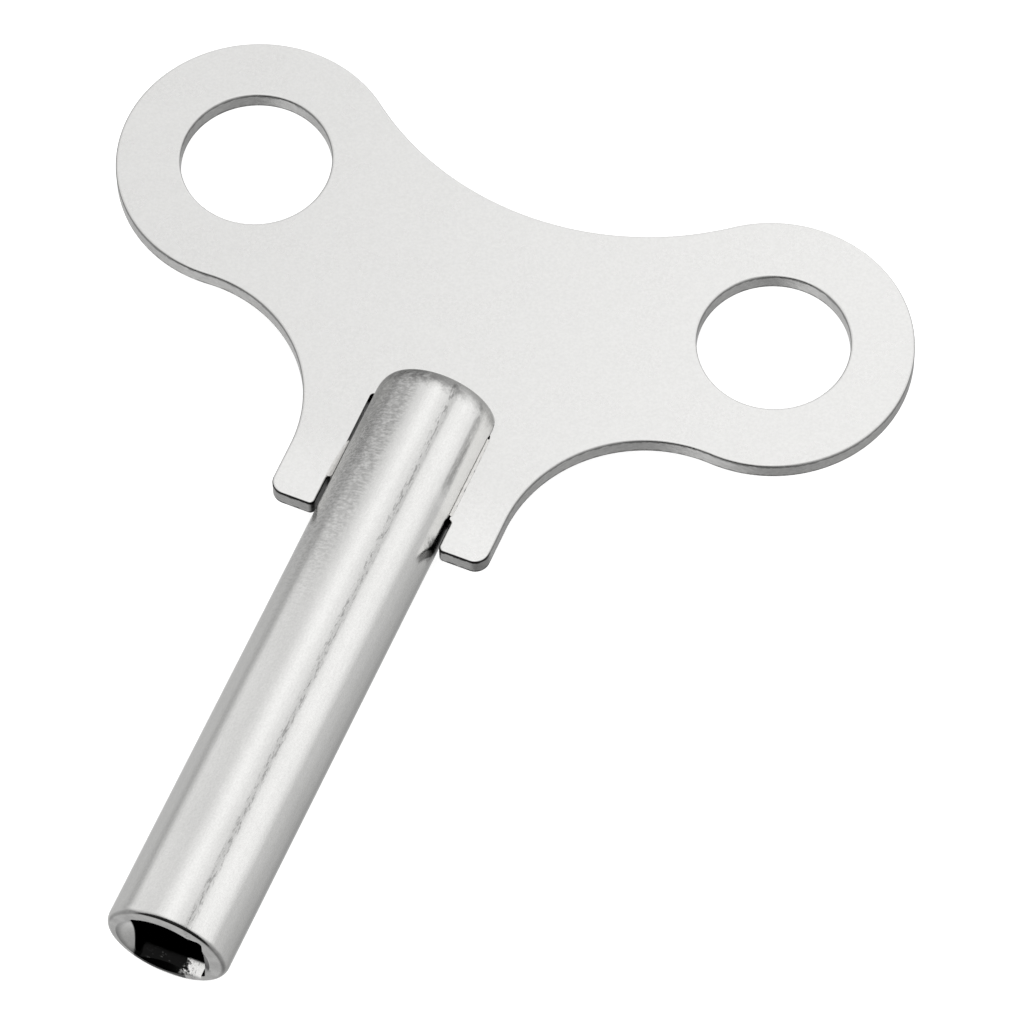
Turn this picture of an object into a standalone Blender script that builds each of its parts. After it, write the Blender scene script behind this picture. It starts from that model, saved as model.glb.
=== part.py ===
"""Radiator bleed key: a stamped two-eared wing plate whose cut-out straddles a round shank. The shank's
top end is slotted for the plate, and its other end is a square socket for the bleed valve's spindle.

The key lies flat. +X points to an ear, +Y along the shank from the socket to the wings and +Z
square to the plate. The origin is under the middle of the key, at the height of the shank's
lowest facet.
"""

import math

import bmesh
import bpy
from mathutils import Matrix, Vector

MM = 0.001

# Wing plate. Heights along Y are measured from the line through the two ear holes.
HOLE_SPACING = 40.0 * MM
HOLE_RADIUS = 5.45 * MM
EAR_RADIUS = 10.1 * MM
EAR_X = 19.92 * MM
EAR_Y = -0.13 * MM
WAIST_TOP_Y = 3.07 * MM
LEG_OUTER_X = 8.2 * MM
LEG_INNER_X = 4.72 * MM
LEG_END_Y = -24.64 * MM
LEG_SHOULDER_Y = -22.3 * MM
LEG_SHOULDER_RISE = 0.35 * MM
CUTOUT_LEFT_X = 4.57 * MM
CUTOUT_RIGHT_PLAY = 0.02 * MM
CUTOUT_TOP_Y = -14.7 * MM
FLANK_RADIUS = 10.48 * MM
LEG_OUTER_CORNER = 1.07 * MM
LEG_INNER_CORNER = 0.4 * MM
CUTOUT_CORNER = 0.3 * MM
PLATE_THICKNESS = 1.5 * MM
PLATE_EDGE_ROUNDING = 0.18 * MM
# Inside the cut-out the edges keep only this share of their rounding.
CUTOUT_EDGE_SHARE = 0.15

# Shank. Its axis leans a little in the plate's plane, and crosses the plate's centre line at one height.
SHANK_RADIUS = 4.475 * MM
SHANK_TOP_Y = -13.25 * MM
SHANK_LEAN = math.radians(0.33)
SHANK_CROSSING_Y = -29.0 * MM
MOUTH_Y = -59.79 * MM
TOP_ROUNDING_LENGTH = 1.25 * MM
TOP_ROUNDING_DEPTH = 0.55 * MM
MOUTH_ROUNDING_LENGTH = 0.6 * MM
MOUTH_ROUNDING_DEPTH = 0.44 * MM
# Both ends are cropped a little out of square: their Y changes by these slopes along X and Z.
MOUTH_SLOPE_X = 0.021
MOUTH_SLOPE_Z = -0.02
TOP_SLOPE_X = 0.035

# Slot for the plate, open at the shank's top end
SLOT_PLAY = 0.08 * MM
SLOT_END_PLAY = 0.1 * MM
SLOT_END_Y = CUTOUT_TOP_Y - CUTOUT_CORNER - SLOT_END_PLAY

# Socket for a 5 mm square spindle
SOCKET_FLATS = 5.25 * MM
SOCKET_X = -0.03 * MM
SOCKET_CORNER = 0.4 * MM
SOCKET_DEPTH = 10.0 * MM
PILOT_RADIUS = 2.5 * MM
PILOT_DEPTH = 12.0 * MM
DRILL_POINT_ANGLE = math.radians(118)
COUNTERSINK_RADIUS = 3.48 * MM
COUNTERSINK_X = -0.24 * MM
COUNTERSINK_Z = -0.27 * MM
COUNTERSINK_SLOPE = math.tan(math.radians(20))
# The socket's lower edge is eased by a long sloping cut.
LEAD_IN_HALF_WIDTH = 2.3 * MM
LEAD_IN_DEPTH = 1.15 * MM
LEAD_IN_DROP = 0.5 * MM

# Runs of braze in the corners between the plate's top and the shank: which side, where along Y they
# start and end, how far they reach over the plate and up the shank, the gap under them and the share
# of their size that is left at the end.
BRAZE_RUNS = {
    "braze_fillet": (-1, -22.2 * MM, -19.0 * MM, 0.42 * MM, 0.5 * MM, 0.05 * MM, 0.25),
    "braze_seam": (1, -21.8 * MM, -15.1 * MM, 0.18 * MM, 0.15 * MM, 0.02 * MM, 0.8),
}
BRAZE_THINNING_POWER = 0.7
BRAZE_STATIONS = 12
BRAZE_FACE_STEPS = 6

# Facets
CHORD_SAG = 0.01 * MM
SHANK_STEPS = 40
ROUNDING_STEPS = 5
EDGE_SEGMENTS = 2
CORNER_SEGMENTS = 4
CUT_PAST = 2.0 * MM
SHARP_ANGLE = math.radians(35)
WELD_DISTANCE = 0.000001

# Frame
EAR_REACH = EAR_Y + EAR_RADIUS
FACE_RADIUS = SHANK_RADIUS - MOUTH_ROUNDING_DEPTH
MOUTH_LEAN = FACE_RADIUS * math.hypot(MOUTH_SLOPE_X - SHANK_LEAN, MOUTH_SLOPE_Z)
MOUTH_REACH = MOUTH_Y - MOUTH_LEAN
HOLE_LINE_Y = -(EAR_REACH + MOUTH_REACH) / 2
# The shank lies on one of its facets, so that it does not roll as a true cylinder would.
HALF_FACET = math.pi / SHANK_STEPS
AXIS_Z = SHANK_RADIUS * math.cos(HALF_FACET)
KEY_ORIGIN = Vector((0.0, HOLE_LINE_Y, AXIS_Z))


def clear_scene():
    """Removes every object that the scene starts with."""
    for obj in list(bpy.data.objects):
        bpy.data.objects.remove(obj, do_unlink=True)


def new_collection(name):
    """A collection linked to the scene."""
    collection = bpy.data.collections.new(name)
    bpy.context.scene.collection.children.link(collection)
    return collection


def metal(name, colour, roughness):
    """A Principled BSDF metal."""
    material = bpy.data.materials.new(name)
    material.use_nodes = True
    shader = material.node_tree.nodes["Principled BSDF"]
    shader.inputs["Base Color"].default_value = (*colour, 1.0)
    shader.inputs["Metallic"].default_value = 1.0
    shader.inputs["Roughness"].default_value = roughness
    return material


def arc(centre, radius, start, end, metal=1, shares=(1.0, 1.0)):
    """Rim points along an arc, with chords no further than CHORD_SAG from it: (x, y, normal x, normal y,
    share of the edge rounding). metal is 1 where the metal is inside the arc and -1 where it is outside."""
    widest = 2 * math.acos(1 - CHORD_SAG / radius)
    steps = max(4, math.ceil(abs(end - start) / widest))
    points = []
    for i in range(steps + 1):
        along = i / steps
        angle = start + (end - start) * along
        across, up = math.cos(angle), math.sin(angle)
        share = shares[0] + (shares[1] - shares[0]) * along
        x, y = centre[0] + radius * across, centre[1] + radius * up
        points.append((x, y, metal * across, metal * up, share))
    return points


def shank_side_x(y):
    """How far the leaning shank's right side is from the key's middle at this height."""
    return SHANK_RADIUS / math.cos(SHANK_LEAN) + (y - SHANK_CROSSING_Y) * math.tan(SHANK_LEAN)


def half_rim(cutout_low_x, cutout_high_x):
    """The right half of the plate's outer rim, from the waist down to the cut-out's top."""
    right, quarter = 0.0, math.pi / 2
    # The waist's arc touches both ear circles from outside.
    drop = EAR_RADIUS - WAIST_TOP_Y
    waist_y = (EAR_X**2 + EAR_Y**2 - drop**2) / (2 * (drop + EAR_Y))
    # The flank's arc touches the ear circle and the leg's outer side.
    flank_x = LEG_OUTER_X + FLANK_RADIUS
    flank_y = EAR_Y - math.sqrt((EAR_RADIUS + FLANK_RADIUS) ** 2 - (flank_x - EAR_X) ** 2)
    to_ear = math.atan2(EAR_Y - waist_y, EAR_X)
    to_flank = math.atan2(flank_y - EAR_Y, flank_x - EAR_X)
    outer = (LEG_OUTER_X - LEG_OUTER_CORNER, LEG_END_Y + LEG_OUTER_CORNER)
    inner = (LEG_INNER_X + LEG_INNER_CORNER, LEG_END_Y + LEG_INNER_CORNER)
    # Two equal arcs step the leg's inner side in to the cut-out.
    bend = 2 * math.atan2(LEG_INNER_X - cutout_low_x, LEG_SHOULDER_RISE)
    bend_radius = LEG_SHOULDER_RISE / (2 * math.sin(bend))
    lower = (LEG_INNER_X - bend_radius, LEG_SHOULDER_Y)
    upper = (cutout_low_x + bend_radius, LEG_SHOULDER_Y + LEG_SHOULDER_RISE)
    corner = (cutout_high_x - CUTOUT_CORNER, CUTOUT_TOP_Y - CUTOUT_CORNER)
    little = CUTOUT_EDGE_SHARE
    return [
        *arc((0.0, waist_y), waist_y - WAIST_TOP_Y, -quarter, to_ear, -1),
        *arc((EAR_X, EAR_Y), EAR_RADIUS, to_ear + math.pi, to_flank)[1:],
        *arc((flank_x, flank_y), FLANK_RADIUS, to_flank + math.pi, math.pi, -1)[1:],
        *arc(outer, LEG_OUTER_CORNER, right, -quarter),
        *arc(inner, LEG_INNER_CORNER, -quarter, -math.pi),
        *arc(lower, bend_radius, right, bend, -1, (1.0, little)),
        *arc(upper, bend_radius, bend + math.pi, math.pi, 1, (little, little))[1:],
        *arc(corner, CUTOUT_CORNER, right, quarter, -1, (little, little)),
    ]


def plate_rims():
    """The plate's outer rim, whose cut-out follows the shank closely on the right, and its holes' rims."""
    low_x = shank_side_x(LEG_SHOULDER_Y + LEG_SHOULDER_RISE) + CUTOUT_RIGHT_PLAY
    high_x = shank_side_x(CUTOUT_TOP_Y - CUTOUT_CORNER) + CUTOUT_RIGHT_PLAY
    right = half_rim(low_x, high_x)
    left = reversed(half_rim(CUTOUT_LEFT_X, CUTOUT_LEFT_X)[1:])
    outer = right + [(-x, y, -nx, ny, share) for x, y, nx, ny, share in left]
    holes = [
        arc((side * HOLE_SPACING / 2, 0.0), HOLE_RADIUS, 0.0, 2 * math.pi, -1)[:-1]
        for side in (-1, 1)
    ]
    return [outer, *holes]


def as_mesh(source, name, collection):
    """Replaces an object by a mesh object of its evaluated shape, with the caps welded."""
    bpy.context.view_layer.update()
    evaluated = source.evaluated_get(bpy.context.evaluated_depsgraph_get())
    mesh = bpy.data.meshes.new_from_object(evaluated)
    mesh.name = name
    work = bmesh.new()
    work.from_mesh(mesh)
    bmesh.ops.remove_doubles(work, verts=work.verts, dist=WELD_DISTANCE)
    bmesh.ops.recalc_face_normals(work, faces=work.faces)
    work.to_mesh(mesh)
    work.free()
    made = bpy.data.objects.new(name, mesh)
    made.matrix_world = source.matrix_world.copy()
    collection.objects.link(made)
    bpy.data.objects.remove(source, do_unlink=True)
    return made


def smooth_shade(obj):
    """Smooth shading, broken at the sharp edges."""
    obj.data.shade_smooth()
    obj.data.set_sharp_from_angle(angle=SHARP_ANGLE)


def make_wing_plate(parts, material):
    """The stamped plate with its two ears, two holes and the two legs beside its cut-out."""
    work = bmesh.new()
    for rim in plate_rims():
        rings = []
        for face in (-1, 1):
            for step in range(EDGE_SEGMENTS + 1):
                turn = math.pi / 2 * (step if face > 0 else EDGE_SEGMENTS - step) / EDGE_SEGMENTS
                ring = []
                for x, y, nx, ny, share in rim:
                    rounding = PLATE_EDGE_ROUNDING * share
                    inset = rounding * (1 - math.cos(turn))
                    height = face * (PLATE_THICKNESS / 2 - rounding * (1 - math.sin(turn)))
                    ring.append(work.verts.new((x - nx * inset, y - ny * inset, height)))
                rings.append(ring)
        for lower, upper in zip(rings, rings[1:]):
            for i in range(len(rim)):
                work.faces.new((lower[i - 1], lower[i], upper[i], upper[i - 1]))
    for face in (-1, 1):
        border = [e for e in work.edges if len(e.link_faces) == 1 and e.verts[0].co.z * face > 0]
        bmesh.ops.triangle_fill(work, use_beauty=True, use_dissolve=False, edges=border)
    bmesh.ops.recalc_face_normals(work, faces=work.faces)
    mesh = bpy.data.meshes.new("wing_plate")
    work.to_mesh(mesh)
    work.free()
    plate = bpy.data.objects.new("wing_plate", mesh)
    parts.objects.link(plate)
    plate.location = KEY_ORIGIN
    plate.data.materials.append(material)
    smooth_shade(plate)
    return plate


def rounded_end(radius, depth, length, end, inward):
    """Profile points of an elliptical rounding from the end face (first) to the bar's side (last)."""
    points = []
    for i in range(ROUNDING_STEPS + 1):
        turn = math.pi / 2 * i / ROUNDING_STEPS
        r = radius - depth + depth * math.sin(turn)
        points.append((r, end + inward * length * (1 - math.cos(turn))))
    return points


def lathe(name, profile, collection):
    """A solid turned about local Z from (radius, height) points that run from top to bottom."""
    mesh = bpy.data.meshes.new(name + "_profile")
    work = bmesh.new()
    row = [work.verts.new((r, 0.0, z)) for r, z in profile]
    for first, second in zip(row, row[1:]):
        work.edges.new((first, second))
    work.to_mesh(mesh)
    work.free()
    turned = bpy.data.objects.new(name + "_profile", mesh)
    collection.objects.link(turned)
    screw = turned.modifiers.new("turn", "SCREW")
    screw.axis = "Z"
    screw.steps = SHANK_STEPS
    screw.render_steps = SHANK_STEPS
    screw.use_merge_vertices = True
    screw.merge_threshold = WELD_DISTANCE
    return as_mesh(turned, name, collection)


def shank_matrix():
    """The key's frame turned onto the shank: its Y runs along the leaning axis, from the mouth to the top."""
    crossing = Vector((0.0, SHANK_CROSSING_Y, 0.0))
    lean = Matrix.Rotation(-SHANK_LEAN, 4, "Z")
    return Matrix.Translation(KEY_ORIGIN + crossing) @ lean @ Matrix.Translation(-crossing)


def mouth_matrix():
    """The frame of the mouth's face: its origin on the shank's axis, its Z pointing out of the socket."""
    out = Vector((MOUTH_SLOPE_X, -1.0, MOUTH_SLOPE_Z)).normalized()
    across = Vector((1.0, MOUTH_SLOPE_X, 0.0)).normalized()
    other = out.cross(across).normalized()
    turn = Matrix((across, other, out)).transposed().to_4x4()
    return shank_matrix() @ Matrix.Translation((0.0, MOUTH_Y, 0.0)) @ turn


def crop_ends(mesh):
    """Leans both ends out of square. The bar's side stays a true cylinder."""
    for vertex in mesh.vertices:
        x, z = vertex.co.x, -vertex.co.y
        if vertex.co.z < (MOUTH_Y + SHANK_TOP_Y) / 2:
            vertex.co.z += MOUTH_SLOPE_X * x + MOUTH_SLOPE_Z * z
        else:
            vertex.co.z += TOP_SLOPE_X * x


def as_cutter(obj):
    """Marks an object as a helper that only cuts others."""
    obj.hide_render = True
    obj.display_type = "WIRE"
    return obj


def box_cutter(name, low, high, collection, edge_radius=0.0):
    """A box between two corners. An edge_radius rounds its four edges along Y."""
    mesh = bpy.data.meshes.new(name)
    work = bmesh.new()
    size = high - low
    bmesh.ops.create_cube(work, size=1.0)
    bmesh.ops.scale(work, vec=size, verts=work.verts)
    bmesh.ops.translate(work, vec=(low + high) / 2, verts=work.verts)
    if edge_radius:
        along = [e for e in work.edges if abs(e.verts[0].co.y - e.verts[1].co.y) > size.y / 2]
        bmesh.ops.bevel(
            work,
            geom=along,
            offset=edge_radius,
            segments=CORNER_SEGMENTS,
            profile=0.5,
            affect="EDGES",
        )
    work.to_mesh(mesh)
    work.free()
    made = bpy.data.objects.new(name, mesh)
    collection.objects.link(made)
    return as_cutter(made)


def countersink_cutter(collection):
    """A shallow cone, wide past the mouth's face and closing inside the socket."""
    height = COUNTERSINK_RADIUS * COUNTERSINK_SLOPE
    grown = (height + CUT_PAST) / COUNTERSINK_SLOPE
    cone = lathe("countersink_cutter", [(0.0, CUT_PAST), (grown, CUT_PAST), (0.0, -height)], collection)
    cone.matrix_world = mouth_matrix() @ Matrix.Translation((COUNTERSINK_X, COUNTERSINK_Z, 0.0))
    return as_cutter(cone)


def pilot_cutter(collection):
    """The drilled pilot hole with its conical drill point."""
    point = PILOT_RADIUS / math.tan(DRILL_POINT_ANGLE / 2)
    profile = [
        (0.0, point),
        (PILOT_RADIUS, 0.0),
        (PILOT_RADIUS, -PILOT_DEPTH / 2),
        (0.0, -PILOT_DEPTH / 2),
    ]
    hole = lathe("pilot_cutter", profile, collection)
    bottom = KEY_ORIGIN + Vector((SOCKET_X, MOUTH_Y + PILOT_DEPTH, 0.0))
    hole.matrix_world = Matrix.Translation(bottom) @ Matrix.Rotation(-math.pi / 2, 4, "X")
    return as_cutter(hole)


def lead_in_cutter(collection):
    """A wedge along the socket's lower edge, sloping from the mouth's face down to nothing inside."""
    floor_z = -SOCKET_FLATS / 2

    def on_slope(depth):
        return (MOUTH_Y + depth, floor_z - LEAD_IN_DROP * (1 - depth / LEAD_IN_DEPTH))

    outside, inside = on_slope(-CUT_PAST), on_slope(2 * LEAD_IN_DEPTH)
    section = [outside, inside, (outside[0], inside[1])]
    work = bmesh.new()
    ends = [
        [work.verts.new((SOCKET_X + side * LEAD_IN_HALF_WIDTH, y, z)) for y, z in section]
        for side in (-1, 1)
    ]
    for i in range(3):
        work.faces.new((ends[0][i - 1], ends[0][i], ends[1][i], ends[1][i - 1]))
    work.faces.new(ends[0])
    work.faces.new(ends[1])
    bmesh.ops.recalc_face_normals(work, faces=work.faces)
    mesh = bpy.data.meshes.new("lead_in_cutter")
    work.to_mesh(mesh)
    work.free()
    made = bpy.data.objects.new("lead_in_cutter", mesh)
    made.location = KEY_ORIGIN
    collection.objects.link(made)
    return as_cutter(made)


def cut(obj, cutter):
    """Adds an exact Boolean difference."""
    boolean = obj.modifiers.new(cutter.name, "BOOLEAN")
    boolean.operation = "DIFFERENCE"
    boolean.solver = "EXACT"
    boolean.object = cutter


def make_socket_shank(parts, cutters, material):
    """The turned bar with its plate slot at one end and its square socket at the other."""
    top = rounded_end(SHANK_RADIUS, TOP_ROUNDING_DEPTH, TOP_ROUNDING_LENGTH, SHANK_TOP_Y, -1)
    mouth = rounded_end(SHANK_RADIUS, MOUTH_ROUNDING_DEPTH, MOUTH_ROUNDING_LENGTH, MOUTH_Y, 1)
    profile = [(0.0, SHANK_TOP_Y), *top, *reversed(mouth), (0.0, MOUTH_Y)]
    shank = lathe("socket_shank", profile, parts)
    shank.data.transform(Matrix.Rotation(HALF_FACET, 4, "Z"))
    crop_ends(shank.data)
    shank.matrix_world = shank_matrix() @ Matrix.Rotation(-math.pi / 2, 4, "X")
    shank.data.materials.clear()
    shank.data.materials.append(material)

    half_slot = PLATE_THICKNESS / 2 + SLOT_PLAY
    wide = SHANK_RADIUS + CUT_PAST
    slot = box_cutter(
        "slot_cutter",
        KEY_ORIGIN + Vector((-wide, SLOT_END_Y, -half_slot)),
        KEY_ORIGIN + Vector((wide, SHANK_TOP_Y + CUT_PAST, half_slot)),
        cutters,
    )
    half_flats = SOCKET_FLATS / 2
    socket = box_cutter(
        "socket_cutter",
        KEY_ORIGIN + Vector((SOCKET_X - half_flats, MOUTH_Y - CUT_PAST, -half_flats)),
        KEY_ORIGIN + Vector((SOCKET_X + half_flats, MOUTH_Y + SOCKET_DEPTH, half_flats)),
        cutters,
        SOCKET_CORNER,
    )
    for cutter in (slot, countersink_cutter(cutters), socket, lead_in_cutter(cutters), pilot_cutter(cutters)):
        cut(shank, cutter)
    smooth_shade(shank)
    return shank


def braze_section(side, toe, rise, gap):
    """A run's section at one station, as (x, z) points: two straight legs and a hollow face."""
    corner_z = PLATE_THICKNESS / 2 + gap
    points = []
    for i in range(BRAZE_FACE_STEPS + 1):
        turn = math.pi / 2 * i / BRAZE_FACE_STEPS
        points.append((toe * (1 - math.sin(turn)), corner_z + rise * (1 - math.cos(turn))))
    points.append((0.0, corner_z))
    # Each point stands off the round bar by its distance from the corner line.
    return [(side * (math.sqrt(SHANK_RADIUS**2 - z**2) + gap + away), z) for away, z in points]


def make_braze(name, parts, material):
    """A run of braze beside the shank, thinning out towards the ears."""
    side, start_y, end_y, toe, rise, gap, thinnest = BRAZE_RUNS[name]
    work = bmesh.new()
    rings = []
    for i in range(BRAZE_STATIONS + 1):
        along = i / BRAZE_STATIONS
        fall = math.cos(math.pi / 2 * along) ** BRAZE_THINNING_POWER
        size = thinnest + (1 - thinnest) * fall
        y = start_y + (end_y - start_y) * along
        section = braze_section(side, toe * size, rise * size, gap)
        rings.append([work.verts.new((x, y, z)) for x, z in section])
    count = len(rings[0])
    for first, second in zip(rings, rings[1:]):
        for i in range(count):
            j = (i + 1) % count
            work.faces.new((first[i], first[j], second[j], second[i]))
    work.faces.new(rings[0])
    work.faces.new(list(reversed(rings[-1])))
    bmesh.ops.recalc_face_normals(work, faces=work.faces)
    mesh = bpy.data.meshes.new(name)
    work.to_mesh(mesh)
    work.free()
    mesh.materials.append(material)
    run = bpy.data.objects.new(name, mesh)
    run.matrix_world = shank_matrix()
    parts.objects.link(run)
    smooth_shade(run)
    return run


def main():
    clear_scene()
    parts = new_collection("radiator_bleed_key")
    cutters = new_collection("cutters")
    make_wing_plate(parts, metal("plated_plate", (0.80, 0.80, 0.79), 0.32))
    make_socket_shank(parts, cutters, metal("plated_bar", (0.74, 0.74, 0.73), 0.22))
    braze = metal("braze", (0.70, 0.69, 0.66), 0.35)
    for name in BRAZE_RUNS:
        make_braze(name, parts, braze)


main()
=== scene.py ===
"""Looks of the radiator bleed key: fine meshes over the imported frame, plated-steel materials,
a pale light-table floor and a soft studio.

Units are metres. +X points to an ear, +Y along the shank from the socket to the wings and
+Z square to the plate. DESIGN_ORIGIN is the middle of the two ear holes on the plate's
mid-plane, and the places below are counted from it.
"""

import math

import bmesh
import bpy
from mathutils import Matrix, Vector, noise


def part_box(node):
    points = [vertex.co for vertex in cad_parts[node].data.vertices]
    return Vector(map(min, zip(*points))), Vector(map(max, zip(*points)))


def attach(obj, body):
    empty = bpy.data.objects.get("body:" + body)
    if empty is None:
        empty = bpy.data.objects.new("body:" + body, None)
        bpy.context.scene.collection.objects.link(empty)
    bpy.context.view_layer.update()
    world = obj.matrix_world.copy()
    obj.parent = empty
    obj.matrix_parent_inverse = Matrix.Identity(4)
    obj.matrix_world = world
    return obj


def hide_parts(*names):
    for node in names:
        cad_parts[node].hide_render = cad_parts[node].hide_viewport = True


MM = 0.001

# Wing plate
HOLE_SPACING = 40.0 * MM
HOLE_RADIUS = 5.45 * MM
EAR_RADIUS = 10.1 * MM
EAR_X = 19.92 * MM
EAR_Y = -0.13 * MM
WAIST_TOP_Y = 3.07 * MM
LEG_OUTER_X = 8.2 * MM
LEG_INNER_X = 4.72 * MM
LEG_END_Y = -24.64 * MM
LEG_SHOULDER_Y = -22.3 * MM
LEG_SHOULDER_RISE = 0.35 * MM
CUTOUT_LEFT_X = 4.57 * MM
CUTOUT_RIGHT_PLAY = 0.02 * MM
CUTOUT_TOP_Y = -14.7 * MM
FLANK_RADIUS = 10.48 * MM
LEG_OUTER_CORNER = 1.07 * MM
LEG_INNER_CORNER = 0.4 * MM
CUTOUT_CORNER = 0.3 * MM
PLATE_THICKNESS = 1.5 * MM
PLATE_EDGE_ROUNDING = 0.18 * MM
CUTOUT_EDGE_SHARE = 0.15

# Shank
SHANK_RADIUS = 4.475 * MM
SHANK_TOP_Y = -13.25 * MM
SHANK_LEAN = math.radians(0.33)
SHANK_CROSSING_Y = -29.0 * MM
MOUTH_Y = -59.79 * MM
TOP_ROUNDING_LENGTH = 1.25 * MM
TOP_ROUNDING_DEPTH = 0.55 * MM
MOUTH_ROUNDING_LENGTH = 0.6 * MM
MOUTH_ROUNDING_DEPTH = 0.44 * MM
MOUTH_SLOPE_X = 0.021
MOUTH_SLOPE_Z = -0.02
TOP_SLOPE_X = 0.035
SLOT_PLAY = 0.08 * MM
SLOT_END_PLAY = 0.1 * MM

# Socket
SOCKET_FLATS = 5.25 * MM
SOCKET_X = -0.03 * MM
SOCKET_CORNER = 0.4 * MM
SOCKET_DEPTH = 10.0 * MM
PILOT_RADIUS = 2.5 * MM
PILOT_DEPTH = 12.0 * MM
DRILL_POINT_ANGLE = math.radians(118)
COUNTERSINK_RADIUS = 3.48 * MM
COUNTERSINK_X = -0.24 * MM
COUNTERSINK_Z = -0.27 * MM
COUNTERSINK_SLOPE = math.tan(math.radians(20))
LEAD_IN_HALF_WIDTH = 2.3 * MM
LEAD_IN_DEPTH = 1.15 * MM
LEAD_IN_DROP = 0.5 * MM

# Runs of braze: which side, start Y, end Y, reach over the plate, rise up the shank, the gap under
# them and the share of their size that is left at the end
BRAZE_RUNS = {
    "braze_fillet": (-1, -22.2 * MM, -19.0 * MM, 0.42 * MM, 0.5 * MM, 0.05 * MM, 0.25),
    "braze_seam": (1, -21.8 * MM, -15.1 * MM, 0.18 * MM, 0.15 * MM, 0.02 * MM, 0.8),
}
BRAZE_THINNING_POWER = 0.7
BRAZE_STATIONS = 80
BRAZE_FACE_STEPS = 16
# The lumps in its face: their size as a share of the run's reach, how many up it and how long
BRAZE_LUMP = 0.12
BRAZE_LUMPS_UP = 2.0
BRAZE_LUMP_LENGTH = 0.45 * MM
BRAZE_LUMP_SEED = 3.1

# Facets of the fine meshes
CHORD_SAG = 0.0008 * MM
FEWEST_ARC_STEPS = 6
SHANK_STEPS = 256
ROUNDING_STEPS = 14
EDGE_SEGMENTS = 5
CORNER_SEGMENTS = 8
CUT_PAST = 2.0 * MM
SHARP_ANGLE = math.radians(35)
FLAT_COSINE = math.cos(math.radians(0.3))
WELD_DISTANCE = 0.0000002

# Camera
CAMERA_AZIMUTH = math.radians(24.19)
CAMERA_ELEVATION = math.radians(59.98)
CAMERA_ROLL = math.radians(-1.39)
CAMERA_DISTANCE = 543.2 * MM
CAMERA_LENS = 268.1
CAMERA_SENSOR = 36.0
CAMERA_CLIP = (0.01, 20.0)
CAMERA_AIM = Vector((6.01 * MM, -14.65 * MM, -9.15 * MM))  # from DESIGN_ORIGIN

# Studio
FLOOR_HALF = 1.5
FLOOR_GLOW = 0.6
STUDIO_STRENGTH = 1.3
# (degrees about the shank, light level): 0 is to the right, 90 overhead, 180 to the left and 270 below
STUDIO_LEVELS = (
    (0, 0.66),
    (15, 0.85),
    (33, 0.91),
    (50, 0.84),
    (59, 0.52),
    (68, 0.74),
    (93, 0.92),
    (125, 0.66),
    (162, 0.71),
    (180, 0.38),
    (195, 0.48),
    (228, 0.45),
    (252, 0.64),
    (285, 0.29),
    (320, 0.42),
    (350, 0.53),
)
# Where the dark front wall and the pale back one fade in or out: EDGE is a direction's part along Y,
# TOP and BOTTOM its part along Z
FRONT_WALL_EDGE = (-0.74, -0.83)
FRONT_WALL_TOP = (0.58, 0.72)
FRONT_WALL_BOTTOM = (-0.6, -0.78)
FRONT_WALL_LEVEL = 0.03
BACK_GLOW_EDGE = (0.50, 0.75)
BACK_GLOW_TOP = (0.7, 0.4)
BACK_GLOW_LEVEL = 0.80

# Where most of a noise's values lie, and a wider range for gentler steps
NOISE = (0.3, 0.7)
WIDE_NOISE = (0.25, 0.75)

# Plating: base colours, and roughness from the smoothest metal to the roughest
PLATE_COLOUR = (0.765, 0.762, 0.752)
PLATE_ROUGHNESS = (0.25, 0.33)
BAR_COLOUR = (0.76, 0.757, 0.745)
BAR_ROUGHNESS = (0.17, 0.27)
BRAZE_COLOUR = (0.76, 0.75, 0.73)
BRAZE_ROUGHNESS = 0.35

# Marks on the plate and then on the bar, many of them painted light or shade. A pair of lengths is where a
# mark starts to fade in and where it is whole. A SHADE is the share of light that a whole mark leaves, a
# LOSS the share that it takes, a GAIN the share that painted light adds, and UNEVEN how far a noise moves a
# mark's border.
# Where the flat faces give way to the walls, by distance from the mid-plane
WALL_FADE = (PLATE_THICKNESS / 2 - 0.03 * MM, PLATE_THICKNESS / 2 - 0.1 * MM)
# Painted shade on the plate's walls inside the joint, where the shank shadows them
JOINT_FADE_X = (LEG_INNER_X + 0.3 * MM, LEG_INNER_X + 0.1 * MM)
JOINT_FADE_Y = (CUTOUT_TOP_Y + 0.3 * MM, CUTOUT_TOP_Y)
JOINT_PAINTED_SHADE = 0.04
# The sheared walls' grey, and a painted dark reflection line just under the upper edge
WALL_SHADE = 0.72
LINE_LOW = (0.44 * MM, 0.52 * MM)
LINE_HIGH = (PLATE_THICKNESS / 2 - 0.02 * MM, PLATE_THICKNESS / 2 - 0.06 * MM)
LINE_UNEVEN = 0.07 * MM
LINE_PAINTED_LOSS = (0.5, 0.95)  # along the plate and at the legs' ends
# Painted shade on the walls at the legs' ends
LEG_ENDS_FADE = (-23.0 * MM, -24.0 * MM)
LEG_ENDS_PAINTED_SHADE = 0.55
# Painted light: lighter legs, and painted light that grows from left to right
LEGS_FADE = (-18.0 * MM, -23.5 * MM)
LEGS_PAINTED_LIGHT = 1.06
ACROSS_X = 24.0 * MM
ACROSS_PAINTED_LIGHT = (0.955, 1.03)

# On the bar: the scuffed patch at the top left, and a painted shade in its top left corner standing in for
# the plate's dark reflection
PATCH_FADE_Y = (-44.0 * MM, -16.0 * MM)
PATCH_FADE_X = (-0.2 * MM, -1.5 * MM)
PATCH_MOTTLE = (0.55, 1.45)  # the faintest and the darkest scuffs
PATCH_SHADE = 0.5
CORNER_FADE_Y = (-19.5 * MM, -14.5 * MM)
CORNER_FADE_X = (-2.9 * MM, -3.9 * MM)
CORNER_UNEVEN = 4.0 * MM
CORNER_PAINTED_SHADE = 0.62
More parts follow.
